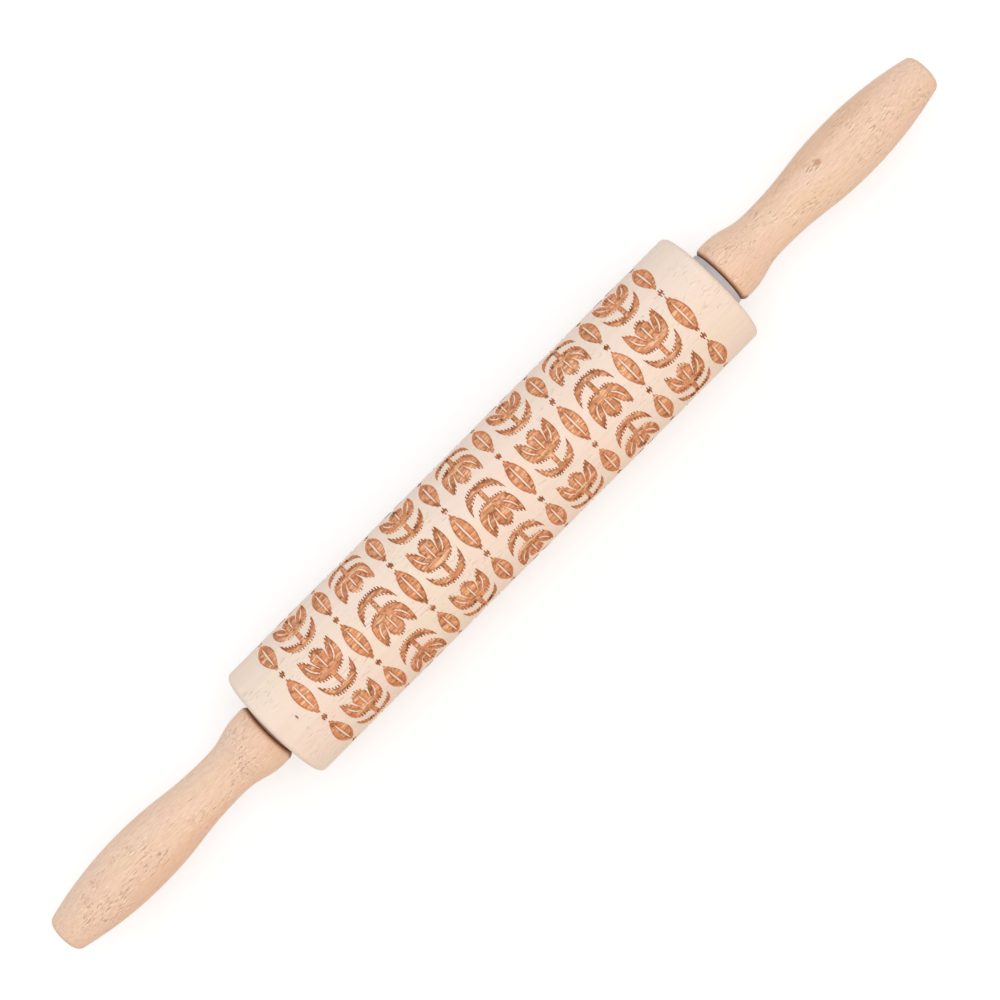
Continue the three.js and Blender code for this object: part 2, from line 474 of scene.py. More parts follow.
@dataclass(frozen=True, kw_only=True)
class Nylon(Finish):
    """Turned nylon: off-white, but given a greyer base that carries painted shade of the gap it sits in,
    faintly mottled, with fine rings from the tool and dull rub marks.

    Clinging sawdust and painted shade of the narrow gap darken it from a place along X outwards.
    """

    white: Colour
    grey: Colour
    dust_and_shade: Colour
    dust_and_shade_place: float
    dust_and_shade_strength: float
    tool_pitch: float = 0.35
    relief: float = 0.008

    def paint(self, place: Signal) -> None:
        """Paints the mottling, the rub marks, and the sawdust with painted shade.

        Args:
            place: The place on the piece in millimetres.
        """
        recipe = place.recipe
        along = place.part("X")
        cloud = place.noise((0.12, 0.12, 0.12), 3.0)
        rub = place.noise((1.1, 0.3, 0.3), 3.0, 0.65)
        tool = recipe.maths("SINE", along * (TURN / self.tool_pitch))
        outward = abs(along) - self.dust_and_shade_place + 1.5 * (rub - 0.5)
        colour = recipe.layered(
            self.white,
            (0.8 * cloud.eased(0.4, 0.75), self.grey),
            (0.4 * rub.eased(0.55, 0.75), self.grey),
            # sawdust, and painted shade of the gap between roller and handle
            (self.dust_and_shade_strength * outward.eased(0.0, 1.5), self.dust_and_shade),
        )
        roughness = self.roughness + 0.18 * rub.eased(0.45, 0.75)
        self.surface(colour, roughness, 0.5 * tool + rub)


@dataclass(frozen=True, kw_only=True)
class Steel(Finish):
    """Drawn steel rod: bright, with fine marks along its length and slight staining."""

    bright: Colour
    dull: Colour
    relief: float = 0.01
    metallic: float = 1.0

    def paint(self, place: Signal) -> None:
        """Paints the drawn steel and its stains.

        Args:
            place: The place on the piece in millimetres.
        """
        recipe = place.recipe
        drawn = place.noise((0.06, 6.0, 6.0), 3.0, 0.6)
        stain = place.noise((0.08, 0.15, 0.15), 4.0, 0.6)
        colour = recipe.layered(self.bright, (0.7 * stain.eased(0.45, 0.75), self.dull))
        roughness = self.roughness + 0.2 * (drawn - 0.5) + 0.15 * stain.eased(0.5, 0.8)
        self.surface(colour, roughness, drawn)


def put(name: str, data: bpy.types.ID) -> bpy.types.Object:
    """Puts a new object in the scene.

    Args:
        name: Its name.
        data: Its mesh, lamp or camera.

    Returns:
        The object.
    """
    made = bpy.data.objects.new(name, data)
    bpy.context.scene.collection.objects.link(made)
    return made


def curve(controls: Run, steps: int) -> list[Point]:
    """Points of a curve that leaves and arrives along the lines between its control points.

    Args:
        controls: Its first point, the control points between, and its last point.
        steps: The number of steps.

    Returns:
        The points.
    """
    degree = len(controls) - 1
    power = np.arange(degree + 1)
    shares = np.linspace(0, 1, steps + 1)[:, None]
    weights = [math.comb(degree, p) for p in power] * shares**power * (1 - shares) ** (degree - power)
    return [tuple(point) for point in weights @ np.array(controls)]


def sweep(start: Point, end: Point, steps: int) -> list[Point]:
    """Points of a smooth sweep that leaves and arrives parallel to the axis."""
    middle = (start[0] + end[0]) / 2
    return curve([start, (middle, start[1]), (middle, end[1]), end], steps)


def arc(middle: Point, radius: float, start: float, end: float, steps: int) -> list[Point]:
    """Points of a rounded corner, from one angle to another, both from +X towards outwards."""
    angles = np.linspace(start, end, steps + 1)
    return [(middle[0] + radius * math.cos(a), middle[1] + radius * math.sin(a)) for a in angles]


def mirrored(run: Run) -> Run:
    """A run of points for the pin's other end."""
    return [(-place, radius) for place, radius in reversed(run)]


def moved(run: Run, shift: float) -> Run:
    """A run of points moved along the axis."""
    return [(place + shift, radius) for place, radius in run]


def crossed(first: np.ndarray, second: np.ndarray) -> np.ndarray:
    """The cross product of vectors in the plane."""
    return first[..., 0] * second[..., 1] - first[..., 1] * second[..., 0]


def leftwards(lines: np.ndarray) -> np.ndarray:
    """The unit vectors that point to the left of lines in the plane."""
    return np.stack([-lines[:, 1], lines[:, 0]], axis=1) / np.maximum(np.hypot(*lines.T), TINY)[:, None]


@dataclass(frozen=True)
class PinSizes:
    """The sizes that more than one piece of the pin shares."""

    roller_length: float = 220.0
    roller_radius: float = 24.0
    left_end_gap: float = 2.5
    right_end_gap: float = 4.0
    axle_radius: float = 4.0
    axle_depth: float = 52.0
    bush_radius: float = 11.5
    bush_length: float = 18.0
    seat_clearance: float = 0.3

    @property
    def collar_place(self) -> float:
        """How far each handle's collar stands from the middle."""
        return (self.roller_length + self.left_end_gap + self.right_end_gap) / 2

    @property
    def roller_shift(self) -> float:
        """How far the roller stands from the middle, towards +X."""
        return (self.left_end_gap - self.right_end_gap) / 2


class Side(Enum):
    """The pin's two ends, by their way along X."""

    LEFT = -1
    RIGHT = 1

    @property
    def word(self) -> str:
        """The side's name, as the pieces use it."""
        return self.name.lower()


@dataclass(frozen=True)
class Patch:
    """Faces of one finish that all have as many corners.

    Args:
        places: The corners' places in millimetres from the middle of the axis, one row each.
        normals: Their unit normals.
        sheet: Their places on the flat map, in millimetres.
        faces: The faces, one row of corner numbers each, anticlockwise from outside.
        finish: The number of the finish.
        values: What the finish reads at each corner.
    """

    places: np.ndarray
    normals: np.ndarray
    sheet: np.ndarray
    faces: np.ndarray
    finish: int = 0
    values: np.ndarray | float = 0.0


@dataclass(frozen=True)
class Turning:
    """A surface turned about the axis: runs of points (place along X, radius), smooth within a run.

    Each run goes with the solid on its right, so an outside goes towards +X. Their faces lie side
    by side on a strip of the flat map, which starts at a corner and may be shrunk.
    """

    runs: Sequence[Run]
    steps: int = 96
    first_angle: float = 0.0
    corner: Point = (0.0, 0.0)
    shrink: float = 1.0

    def patches(self) -> list[Patch]:
        """Turns the runs.

        Returns:
            The faces of each run. Those that touch the axis have two corners there in one place.
        """
        reach = max(radius for run in self.runs for _, radius in run)
        turned = np.linspace(0, TURN, self.steps + 1)
        radial = [0, 1, 1]
        travelled, top = self.corner
        patches = []
        for run in self.runs:
            profile = np.array(run)
            pieces = np.diff(profile, axis=0)
            across = leftwards(pieces)
            tilts = np.concatenate([across[:1], across[:-1] + across[1:], across[-1:]])
            tilts /= np.hypot(*tilts.T)[:, None]
            along = travelled + np.concatenate([[0.0], np.cumsum(np.hypot(*pieces.T))])
            travelled = along[-1]
            row, column = (grid.ravel() for grid in np.mgrid[: len(profile), : len(turned)])
            angle = self.first_angle + turned[column]
            outward = np.stack([np.ones(len(angle)), np.sin(angle), np.cos(angle)], axis=1)
            places, normals = (outward * values[row][:, radial] for values in (profile, tilts))
            sheet = np.stack([along[row], top + turned[column] * reach], axis=1) * self.shrink
            grid = np.arange(len(row)).reshape(len(profile), -1)
            corners = grid[:-1, :-1], grid[1:, :-1], grid[1:, 1:], grid[:-1, 1:]
            faces = np.stack(corners, axis=2).reshape(-1, 4)
            patches.append(Patch(places, normals, sheet, faces))
        return patches


@dataclass(frozen=True)
class Piece:
    """One solid of the pin, whose faces each kind of piece lays round the axis."""

    sizes: PinSizes

    def patches(self) -> list[Patch]:
        """The piece's faces."""
        raise NotImplementedError

    def build(self, name: str, finishes: list[Finish]) -> bpy.types.Object:
        """Joins the faces where they meet and makes the piece.

        Args:
            name: The piece's name.
            finishes: Its finishes, by number.

        Returns:
            The piece.
        """
        patches = self.patches()
        sizes = np.concatenate([np.full(len(patch.faces), patch.faces.shape[1]) for patch in patches])
        numbers = np.concatenate([np.full(len(patch.faces), patch.finish) for patch in patches])
        places, normals, sheet, values = map(np.concatenate, zip(*map(self.corners, patches)))
        keys = np.round(places / WELD).astype(np.int64)
        _, first, point = np.unique(keys, axis=0, return_index=True, return_inverse=True)
        point = point.ravel()
        starts = np.cumsum(sizes) - sizes
        following = np.arange(1, len(point) + 1)
        following[starts + sizes - 1] = starts
        kept = point != point[following]
        left = np.add.reduceat(kept.astype(int), starts)
        kept &= np.repeat(left > 2, sizes)
        sizes, numbers = left[left > 2], numbers[left > 2]

        mesh = bpy.data.meshes.new(name)
        mesh.vertices.add(len(first))
        mesh.vertices.foreach_set("co", (places[first] * METRE).astype(np.float32).ravel())
        mesh.loops.add(int(kept.sum()))
        mesh.loops.foreach_set("vertex_index", point[kept].astype(np.int32))
        mesh.polygons.add(len(sizes))
        mesh.polygons.foreach_set("loop_start", (np.cumsum(sizes) - sizes).astype(np.int32))
        mesh.polygons.foreach_set("material_index", numbers.astype(np.int32))
        mesh.update(calc_edges=True)
        sheet -= sheet.min(axis=0)
        sheet = sheet / (sheet.max() * MAP_ROOM) + MAP_MARGIN
        layer = mesh.uv_layers.new(name="OFBake")
        layer.uv.foreach_set("vector", sheet[kept].astype(np.float32).ravel())
        if values.any():
            read = mesh.attributes.new(FROM_THE_EDGE, "FLOAT", "POINT")
            read.data.foreach_set("value", values[first].astype(np.float32))
        for finish in finishes:
            mesh.materials.append(finish.dressed())
        mesh.normals_split_custom_set(normals[kept].tolist())
        return put(name, mesh)

    def corners(self, patch: Patch) -> tuple[np.ndarray, ...]:
        """Lists a patch corner by corner, with the axis at its height over the floor.

        Args:
            patch: The patch.

        Returns:
            The places, normals, places on the map and values of its faces' corners.
        """
        corners = patch.faces.ravel()
        places = patch.places + [0.0, 0.0, self.sizes.roller_radius]
        values = np.broadcast_to(patch.values, len(places))
        return places[corners], patch.normals[corners], patch.sheet[corners], values[corners]


class Way(Enum):
    """Which way round the roller a motif's top points."""

    FORWARD = 1
    BACK = -1


@dataclass(frozen=True)
class Stroke:
    """One step of an outline: a line to its end, or a curve to it past a control point."""

    end: Point
    control: Point | None = None


@dataclass(frozen=True)
class Ridge:
    """A thin line left standing in a recess, pointed at both ends; thickness in millimetres."""

    start: Point
    control: Point
    end: Point
    thickness: float


@dataclass(frozen=True)
class Motif:
    """A figure of the engraving, of which the strokes draw one half.

    Its points are shares of its width, from its middle, and of its height, from its foot.
    """

    width: float
    height: float
    start: Point
    strokes: tuple[Stroke, ...]
    ridges: tuple[Ridge, ...] = ()

    def placed(self, point: Point, way: Way, side: int = 1) -> np.ndarray:
        """A point in millimetres from the motif's middle; side -1 gives its mirror image."""
        return np.array([side * point[0] * self.width, way.value * (point[1] - 0.5) * self.height])

    def outline(self, way: Way, step: float) -> np.ndarray:
        """The closed outline of the recess.

        Args:
            way: Which way the motif points.
            step: The longest step between points.

        Returns:
            Its points, one row each.
        """
        half = [self.placed(self.start, way)]
        for stroke in self.strokes:
            start, end = half[-1], self.placed(stroke.end, way)
            middle = self.placed(stroke.control, way) if stroke.control else (start + end) / 2
            length = math.dist(start, middle) + math.dist(middle, end)
            half += curve([start, middle, end], max(2, math.ceil(length / step)))[1:]
        half = np.array(half)
        return np.vstack([half, (half[half[:, 0] > TINY] * [-1, 1])[::-1]])

    def standing(self, way: Way, step: float) -> list[np.ndarray]:
        """The closed outlines of the ridges left in the recess.

        Args:
            way: Which way the motif points.
            step: The longest step between points.

        Returns:
            The outlines.
        """
        loops = []
        for ridge in self.ridges:
            for side in (1,) if ridge.start[0] == ridge.end[0] == 0 else (1, -1):
                controls = [self.placed(p, way, side) for p in (ridge.start, ridge.control, ridge.end)]
                steps = max(4, math.ceil(math.dist(controls[0], controls[2]) / step))
                spine = np.array(curve(controls, steps))
                swell = ridge.thickness / 2 * np.sin(np.linspace(0, math.pi, len(spine))) ** 0.5
                offset = leftwards(np.gradient(spine, axis=0)) * swell[:, None]
                loops.append(np.vstack([spine + offset, (spine - offset)[-2:0:-1]]))
        return loops


TULIP = Motif(
    width=15.4,
    height=19.0,
    start=(0.06, 0.0),
    strokes=(
        Stroke((0.5, 0.44), (0.48, 0.0)),
        Stroke((0.06, 0.14), (0.36, 0.2)),
        Stroke((0.06, 0.38)),
        Stroke((0.46, 1.0), (0.62, 0.38)),
        Stroke((0.25, 0.83), (0.33, 0.95)),
        Stroke((0.13, 0.6), (0.19, 0.7)),
        Stroke((0.205, 0.84), (0.18, 0.71)),
        Stroke((0.0, 1.0), (0.15, 0.96)),
    ),
    ridges=(
        Ridge((0.0, 0.54), (0.0, 0.7), (0.0, 0.88), 0.5),
        Ridge((0.2, 0.56), (0.37, 0.66), (0.39, 0.86), 0.5),
    ),
)
LEAF = Motif(
    width=6.4,
    height=17.0,
    start=(0.0, 0.0),
    strokes=(Stroke((0.0, 1.0), (1.0, 0.5)),),
    ridges=(Ridge((0.0, 0.14), (0.0, 0.5), (0.0, 0.82), 0.6),),
)
BUD = Motif(
    width=2.2,
    height=2.2,
    start=(0.0, 0.0),
    strokes=(Stroke((0.5, 0.5), (0.5, 0.02)), Stroke((0.0, 1.0), (0.5, 0.98))),
)


@dataclass(frozen=True)
class Beam:
    """The engraving beam: it scans round the roller in lines that end a little early or late in turn."""

    line: float = 0.5
    lines: int = 64
    early_or_late: float = 0.46
    least_late: float = 0.35
    late_spread: float = 0.9
    comb_facing: Point = (0.3, 0.7)
    least_comb: float = 0.03
    ridge_share: float = 0.3
    depth: float = 1.0
    draft: float = 0.17
    step: float = 0.55
    bud_step: float = 0.35

    def lateness(self, dice: np.random.Generator) -> np.ndarray:
        """How late each scan line ends, in millimetres: early and late in turn, never quite alike."""
        turns = np.where(np.arange(self.lines) % 2 == 0, 1.0, -1.0)
        return turns * self.early_or_late * (self.least_late + self.late_spread * dice.random(self.lines))

    def scanned(self, loop: np.ndarray, phase: float, late: np.ndarray, share: float = 1.0) -> np.ndarray:
        """Redraws an outline as the beam cuts it: where an edge faces round the roller, it is a comb.

        Args:
            loop: The outline (place along the roller, place round it).
            phase: Where the scan lines fall.
            late: How late each scan line ends, in turn.
            share: A factor on that.

        Returns:
            The redrawn outline.
        """
        ahead = np.roll(loop, -1, axis=0)
        pieces = ahead - loop
        facing = np.abs(pieces[:, 0]) / np.maximum(np.hypot(*pieces.T), TINY)
        low, high = self.comb_facing
        rise = np.clip((facing - low) / (high - low), 0, 1)
        rise = rise * rise * (3 - 2 * rise)
        weight = share * (rise + np.roll(rise, 1)) / 2
        drawn = []
        for start, end, *pull in zip(loop, ahead, weight, np.roll(weight, -1)):
            scan = (start[0] / self.line + phase), (end[0] / self.line + phase)
            line = math.floor(scan[0])
            drawn.append((start[0], start[1] + late[line % self.lines] * pull[0]))
            way = 1 if scan[1] > scan[0] else -1
            while line != math.floor(scan[1]):
                along = (max(line, line + way) - scan[0]) / (scan[1] - scan[0])
                place = start + (end - start) * along
                both = pull[0] + (pull[1] - pull[0]) * along
                if both > self.least_comb:
                    for number in (line, line + way):
                        drawn.append((place[0], place[1] + late[number % self.lines] * both))
                line += way
        return np.array(drawn)


@dataclass(frozen=True)
class Lines:
    """Straight lines on the unrolled skin, from one row of points to another."""

    starts: np.ndarray
    ends: np.ndarray

    def distance(self, points: np.ndarray) -> np.ndarray:
        """How far points are from the nearest line.

        Args:
            points: The points.

        Returns:
            The distances.
        """
        along = self.ends - self.starts
        away = points[:, None] - self.starts
        share = (away * along).sum(axis=2) / np.maximum((along**2).sum(axis=1), TINY**2)
        return np.linalg.norm(away - np.clip(share, 0, 1)[..., None] * along, axis=2).min(axis=1)

    def enclose(self, points: np.ndarray) -> np.ndarray:
        """Whether points lie inside the closed outlines that the lines make up.

        Args:
            points: The points.

        Returns:
            True for each point inside.
        """
        (x, y), (next_x, next_y) = self.starts.T, self.ends.T
        level = points[:, 1:]
        rise = np.where(np.abs(next_y - y) < TINY, TINY, next_y - y)
        beside = points[:, :1] < x + (level - y) / rise * (next_x - x)
        return (beside & ((y > level) != (next_y > level))).sum(axis=1) % 2 == 1


@dataclass(frozen=True)
class Relief:
    """An engraved tile, split into faces that are cut or left standing.

    Args:
        points: Places along and round the roller.
        sunk: Where each point lies on the recess floor, which the sloped walls draw in.
        near: Each point's distance from the nearest wall.
        surface: The faces left standing.
        floor: The faces of the recess floor.
        walls: Pairs of points along the walls, with the recess on their left.
    """

    points: np.ndarray
    sunk: np.ndarray
    near: np.ndarray
    surface: np.ndarray
    floor: np.ndarray
    walls: np.ndarray


@dataclass(frozen=True)
class Tile:
    """A rectangle of the roller's unrolled skin, with its middle along the roller at zero.

    Args:
        width: Its width along the roller.
        low: Its lowest place round the roller.
        step: The spacing of the points on its sides, which its neighbours share.
        steps: How many of those steps there are.
        draft: How far in the foot of a recess wall stands.
        spacing: About how far apart its other points are.
        flattening: The spacing of their rows, as a share of that.
        clear: How near those points may come to an outline.
        farthest: The longest distance from a wall that is told apart.
        wall_share: How much of the way to the wall across a wall's foot may go.
        least_lean: The least lean of the walls at a point that moves its foot.
        own: How near a wall is taken for the point's own.
        slack: How far past its ends a wall still counts, as a share of it.
        merging: How near two points are taken for one.
    """

    width: float
    low: float
    step: float
    steps: int
    draft: float
    spacing: float = 1.45
    flattening: float = 0.9
    clear: float = 0.45
    farthest: float = 2.0
    wall_share: float = 0.3
    least_lean: float = 0.2
    own: float = 1e-4
    slack: float = 1e-6
    merging: float = 1e-5

    def border(self) -> np.ndarray:
        """The points round the tile, anticlockwise.

        Returns:
            The points.
        """
        columns = max(2, round(self.width / self.spacing))
        across = np.linspace(-self.width / 2, self.width / 2, columns + 1)
        up = self.low + self.step * np.arange(self.steps + 1)
        there = [(x, up[0]) for x in across[:-1]] + [(across[-1], y) for y in up[:-1]]
        back = [(x, up[-1]) for x in across[:0:-1]] + [(across[0], y) for y in up[:0:-1]]
        return np.array(there + back)

    def scattered(self) -> np.ndarray:
        """Evenly spread points inside the tile, in staggered rows.

        Returns:
            The points.
        """
        height = self.step * self.steps
        rows = round(height / (self.spacing * self.flattening))
        columns = round(self.width / self.spacing)
        row, column = np.mgrid[1:rows, :columns]
        place = (column + np.where(row % 2, 0.75, 0.25)) / columns - 0.5
        return np.stack([self.width * place, self.low + height * row / rows], axis=2).reshape(-1, 2)

    def engraved(self, loops: list[np.ndarray]) -> Relief:
        """Splits the tile into faces along the outlines on it.

        Args:
            loops: The outlines.

        Returns:
            The engraved tile.
        """
        outlines = Lines(np.vstack(loops), np.vstack([np.roll(loop, -1, axis=0) for loop in loops]))
        border, inner = self.border(), self.scattered()
        inner = inner[outlines.distance(inner) > self.clear]
        edges = []
        for loop in (border, *loops):
            first = len(edges)
            edges += [(first + i, first + (i + 1) % len(loop)) for i in range(len(loop))]
        given = np.vstack([border, *loops, inner]).tolist()
        found = delaunay_2d_cdt(given, edges, [], 0, self.merging, False)
        points = np.array([tuple(place) for place in found[0]])
        faces = np.array(found[2])
        cut = outlines.enclose(points[faces].mean(axis=1))
        walls = self.walls(faces, cut)
        near = np.minimum(Lines(*points[walls.T]).distance(points), self.farthest)
        return Relief(points, self.drawn_in(points, walls), near, faces[~cut], faces[cut], walls)

    @staticmethod
    def walls(faces: np.ndarray, cut: np.ndarray) -> np.ndarray:
        """Finds the lines between faces that are cut and faces left standing.

        Args:
            faces: All faces, anticlockwise.
            cut: Which of them are cut.

        Returns:
            Pairs of points, with the cut face on their left.
        """
        sides = np.stack([faces, np.roll(faces, -1, axis=1)], axis=2)
        sunk = set(map(tuple, sides[cut].reshape(-1, 2).tolist()))
        standing = set(map(tuple, sides[~cut][..., ::-1].reshape(-1, 2).tolist()))
        return np.array(sorted(sunk & standing))

    def drawn_in(self, points: np.ndarray, walls: np.ndarray) -> np.ndarray:
        """Where each point lies on the floor: the walls slope in, but never so far that they meet.

        Args:
            points: The tile's points.
            walls: Its walls.

        Returns:
            The places on the floor.
        """
        starts, ends = points[walls.T]
        along = ends - starts
        lean = np.zeros_like(points)
        np.add.at(lean, walls.T, leftwards(along))
        length = np.hypot(*lean.T)
        foot = np.flatnonzero(length > self.least_lean)
        ray = lean[foot] / length[foot, None]
        away = starts - points[foot, None]
        bottom = crossed(ray[:, None], along)
        bottom = np.where(np.abs(bottom) < TINY, TINY, bottom)
        reach = crossed(away, along) / bottom
        share = crossed(away, ray[:, None]) / bottom
        met = (reach > self.own) & (np.abs(share - 0.5) < 0.5 + self.slack)
        clear = np.where(met, reach, np.inf).min(axis=1)
        sunk = points.copy()
        sunk[foot] += ray * np.minimum(self.draft, self.wall_share * clear)[:, None]
        return sunk


@dataclass(frozen=True)
class EngravedRoller(Piece):
    """The roller: a beech barrel with rounded rims, a counterbore in each end and engraving all round."""

    beam: Beam = Beam()
    edge_radius: float = 2.0
    bore_radius: float = 5.5
    counterbore_clearance: float = 0.3
    plain_band: float = 13.0
    ring_gap: float = 2.4
    row_gap: float = 2.0
    steps_per_row: int = 24
    leaf_steps_on: int = 2
    seed: int = 17
    right_strip: float = 20.0
    left_strip: float = 60.0
    strip_top: float = -10.0
    inner_strip: Point = (0.0, 330.0)
    inner_shrink: float = 0.55

    @property
    def rows(self) -> int:
        """How many copies of a motif fit round the roller."""
        return math.floor(TURN * self.sizes.roller_radius / (TULIP.height + self.row_gap))

    @property
    def row(self) -> float:
        """The distance round the roller from one copy to the next."""
        return TURN * self.sizes.roller_radius / self.rows

    def rolled(self, flat: np.ndarray, radius: float) -> tuple[np.ndarray, np.ndarray]:
        """Rolls places on the unrolled skin round the roller.

        Args:
            flat: Places along and round the roller.
            radius: The distance from the axis.

        Returns:
            Their places, and the directions straight out from the axis.
        """
        angle = flat[:, 1] / self.sizes.roller_radius
        outward = np.stack([np.zeros(len(flat)), np.sin(angle), np.cos(angle)], axis=1)
        along = (flat[:, :1] + self.sizes.roller_shift) * [1.0, 0.0, 0.0]
        return along + radius * outward, outward

    def laid(self, relief: Relief, shift: Point) -> list[Patch]:
        """Rolls an engraved tile round the roller.

        Args:
            relief: The engraved tile.
            shift: Its place along and round the roller.

        Returns:
            Its bare wood, the floors of its recesses and their walls.
        """
        flat, sunk = relief.points + shift, relief.sunk + shift
        places, outward = self.rolled(flat, self.sizes.roller_radius)
        floor, floor_outward = self.rolled(sunk, self.sizes.roller_radius - self.beam.depth)
        first, last = relief.walls.T
        corners = np.stack([places[first], places[last], floor[last], floor[first]], axis=1)
        across = np.cross(corners[:, 1] - corners[:, 0], corners[:, 3] - corners[:, 0])
        across /= np.maximum(np.linalg.norm(across, axis=1), TINY)[:, None]
        sheet = np.stack([flat[first], flat[last], sunk[last], sunk[first]], axis=1)
        faces = np.arange(4 * len(first)).reshape(-1, 4)
        return [
            Patch(places, outward, flat, relief.surface),
            Patch(floor, floor_outward, sunk, relief.floor, 1, relief.near),
            Patch(corners.reshape(-1, 3), np.repeat(across, 4, axis=0), sheet.reshape(-1, 2), faces, 2),
        ]

    def engraving(self) -> tuple[list[Patch], float]:
        """Lays rings of tulips, turned end for end in alternate rings, between rings of leaves.

        Returns:
            The faces, and half the length that they take.
        """
        beam, ways = self.beam, (Way.FORWARD, Way.BACK)
        dice = np.random.default_rng(self.seed)
        step, low = self.row / self.steps_per_row, -self.row / 2
        wide, narrow = TULIP.width + self.ring_gap, LEAF.width + self.ring_gap
        pitch = wide + narrow
        count = math.floor((self.sizes.roller_length - 2 * self.plain_band - LEAF.width) / pitch)
        leafy = Tile(narrow, low + self.leaf_steps_on * step, step, self.steps_per_row, beam.draft)
        plain = Tile(wide, low, step, self.steps_per_row, beam.draft)
        buds = [BUD.outline(Way.FORWARD, beam.bud_step) + [0.0, self.row / 2]]
        rings = [(leafy, LEAF, Way.FORWARD, buds, ring) for ring in range(count + 1)]
        rings += [(plain, TULIP, ways[ring % 2], [], ring + 0.5) for ring in range(count)]
        patches = []
        for tile, motif, way, beside, place in rings:
            outlines = [motif.outline(way, beam.step), *beside]
            ridges = motif.standing(way, beam.step)
            for copy in range(self.rows):
                phase, late = dice.random(), beam.lateness(dice)
                loops = [beam.scanned(loop, phase, late) for loop in outlines]
                loops += [beam.scanned(loop, phase, late, beam.ridge_share) for loop in ridges]
                patches += self.laid(tile.engraved(loops), ((place - count / 2) * pitch, copy * self.row))
        return patches, (count * pitch + narrow) / 2

    def patches(self) -> list[Patch]:
        """The engraving, both plain ends with their rims, and the stepped bore.

        Returns:
            The faces.
        """
        patches, engraved = self.engraving()
        half, radius, edge = self.sizes.roller_length / 2, self.sizes.roller_radius, self.edge_radius
        counterbore = self.sizes.bush_radius + self.counterbore_clearance
        floor = half - self.sizes.bush_length - self.sizes.seat_clearance
        rim = arc((half - edge, radius - edge), edge, math.pi / 2, 0, 8)
        end_face = [(half, place) for place in np.linspace(radius - edge, counterbore, 5)]
        outer = [(engraved, radius), *rim, *end_face[1:]]
        wall = [(half, counterbore), (floor, counterbore)]
        shelf = [(floor, counterbore), (floor, self.bore_radius)]
        bore = [(floor, self.bore_radius), (-floor, self.bore_radius)]
        steps, first = self.rows * self.steps_per_row, -math.pi / self.rows
        for runs, corner, shrink in (
            ([outer], (half + self.right_strip, self.strip_top), 1.0),
            ([mirrored(outer)], (-half - self.left_strip, self.strip_top), 1.0),
            ([wall, shelf, bore, mirrored(shelf), mirrored(wall)], self.inner_strip, self.inner_shrink),
        ):
            placed = [moved(run, self.sizes.roller_shift) for run in runs]
            patches += Turning(placed, steps, first, corner, shrink).patches()
        return patches


@dataclass(frozen=True)
class TurnedHandle(Piece):
    """A handle, turned from one piece of beech: collar, waist, belly and a rounded far end."""

    side: Side
    length: float = 104.25
    collar_radius: float = 12.3
    collar_edge: float = 2.2
    collar_land: float = 3.8
    neck_radius: float = 9.4
    neck_place: float = 23.0
    belly_radius: float = 12.2
    belly_place: float = 66.0
    tip_radius: float = 7.9
    tip_edge: float = 2.6
    tip_dome: float = 0.9
    tip_fullness: float = 0.4
    bore_clearance: float = 0.3
    mouth_chamfer: float = 0.9
    bore_strip: Point = (0.0, 160.0)
    bore_shrink: float = 0.6

    def outside(self) -> list[Point]:
        """The outside, from the bore's mouth over the collar to the middle of the far end.

        Returns:
            Points (distance from the collar's face, radius).
        """
        edge, shoulder = self.collar_edge, self.collar_radius - self.collar_edge
        mouth = self.sizes.axle_radius + self.bore_clearance + self.mouth_chamfer
        land, neck = (self.collar_land, self.collar_radius), (self.neck_place, self.neck_radius)
        belly, foot = (self.belly_place, self.belly_radius), self.tip_radius - self.tip_edge
        tip = self.length - self.tip_dome - self.tip_edge
        middle = (self.belly_place + tip) / 2
        taper_lean = math.atan2(self.belly_radius - self.tip_radius, tip - middle)
        dome_lean = math.atan2(self.tip_dome, foot)
        rounded = arc((tip, foot), self.tip_edge, math.pi / 2 - taper_lean, dome_lean, 12)
        dome = [rounded[-1], (self.length, rounded[-1][1] * self.tip_fullness), (self.length, 0.0)]
        return [
            *[(0.0, radius) for radius in np.linspace(mouth, shoulder, 4)],
            *arc((edge, shoulder), edge, math.pi, math.pi / 2, 8)[1:],
            land,
            *sweep(land, neck, 22)[1:],
            *sweep(neck, belly, 34)[1:],
            *curve([belly, (middle, self.belly_radius), rounded[0]], 24)[1:],
            *rounded[1:],
            *curve(dome, 8)[1:],
        ]

    def patches(self) -> list[Patch]:
        """The outside, and the blind bore that grips the axle.

        Returns:
            The faces.
        """
        radius = self.sizes.axle_radius + self.bore_clearance
        depth, chamfer = self.sizes.axle_depth + self.sizes.seat_clearance, self.mouth_chamfer
        bore = [(depth, 0.0), (depth, radius), (chamfer, radius), (0.0, radius + chamfer)]
        patches = []
        for runs, corner, shrink in (
            ([self.outside()], (0.0, 0.0), 1.0),
            (zip(bore, bore[1:]), self.bore_strip, self.bore_shrink),
        ):
            placed = [moved(run, self.sizes.collar_place) for run in runs]
            if self.side is Side.LEFT:
                placed = [mirrored(run) for run in placed]
            patches += Turning(placed, corner=corner, shrink=shrink).patches()
        return patches


